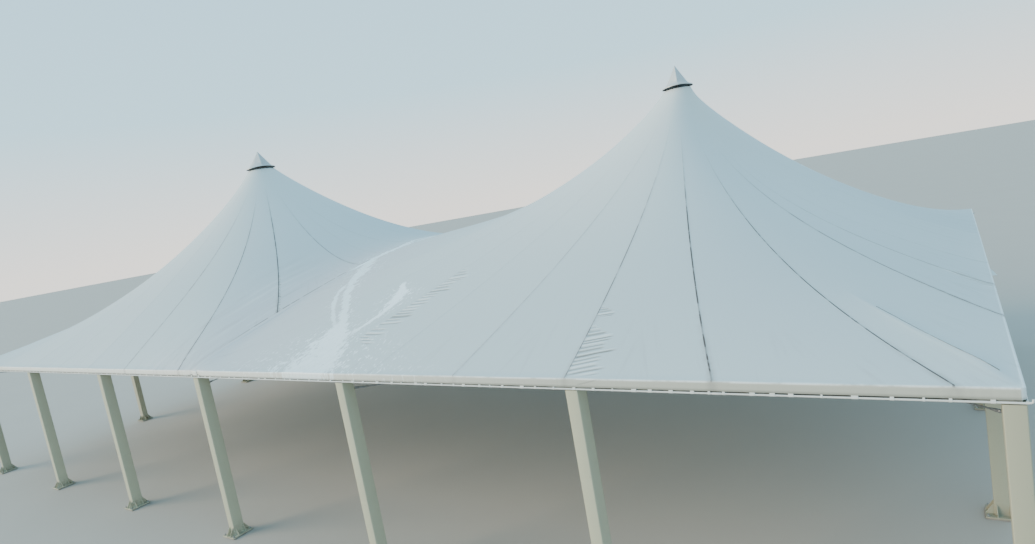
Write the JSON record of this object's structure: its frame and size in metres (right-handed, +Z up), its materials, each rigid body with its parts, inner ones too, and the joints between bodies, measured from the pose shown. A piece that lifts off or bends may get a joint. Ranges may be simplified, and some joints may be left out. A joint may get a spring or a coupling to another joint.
{
  "type": "two-peak membrane tent",
  "caption": "Tensioned white membrane roof with two conical peaks on a rectangular frame of box columns and edge beams, open on all sides.",
  "frame": {"origin": "on the floor, at the middle of the plan", "axes": "+X along the front eave to the right, +Y from the front eave to the back eave, +Z up"},
  "size_m": [34.72, 17.69, 11.48],
  "materials": {
    "coated_fabric": "white PVC-coated polyester, satin, with welded seams, light dust and water marks",
    "column_paint": "pale grey-green enamel on box sections, dusty near the floor",
    "beam_paint": "pale grey-green enamel on box sections",
    "rail_paint": "off-white enamel on round tube",
    "cap_sheet": "off-white coated sheet, folded to a point",
    "galvanised_steel": "dull hot-dip galvanised steel"
  },
  "bodies": {
    "root": {"column_front_1": "column_paint", "column_back_1": "column_paint", "column_front_2": "column_paint", "column_back_2": "column_paint", "column_front_3": "column_paint", "column_back_3": "column_paint", "column_front_4": "column_paint", "column_back_4": "column_paint", "column_front_5": "column_paint", "column_back_5": "column_paint", "column_front_6": "column_paint", "column_back_6": "column_paint", "column_front_7": "column_paint", "column_back_7": "column_paint", "column_left_1": "column_paint", "column_right_1": "column_paint", "column_left_2": "column_paint", "column_right_2": "column_paint", "edge_beam_front": "beam_paint", "edge_rail_front": "rail_paint", "edge_beam_back": "beam_paint", "edge_rail_back": "rail_paint", "edge_beam_left": "beam_paint", "edge_rail_left": "rail_paint", "edge_beam_right": "beam_paint", "edge_rail_right": "rail_paint", "membrane_left": "coated_fabric", "peak_ring_left": "galvanised_steel", "peak_cap_left": "cap_sheet", "flying_mast_left": "galvanised_steel", "stay_left_front_1": "galvanised_steel", "stay_left_front_2": "galvanised_steel", "stay_left_back_1": "galvanised_steel", "stay_left_back_2": "galvanised_steel", "membrane_right": "coated_fabric", "peak_ring_right": "galvanised_steel", "peak_cap_right": "cap_sheet", "flying_mast_right": "galvanised_steel", "stay_right_front_1": "galvanised_steel", "stay_right_front_2": "galvanised_steel", "stay_right_back_1": "galvanised_steel", "stay_right_back_2": "galvanised_steel"}
  },
  "joints": []
}
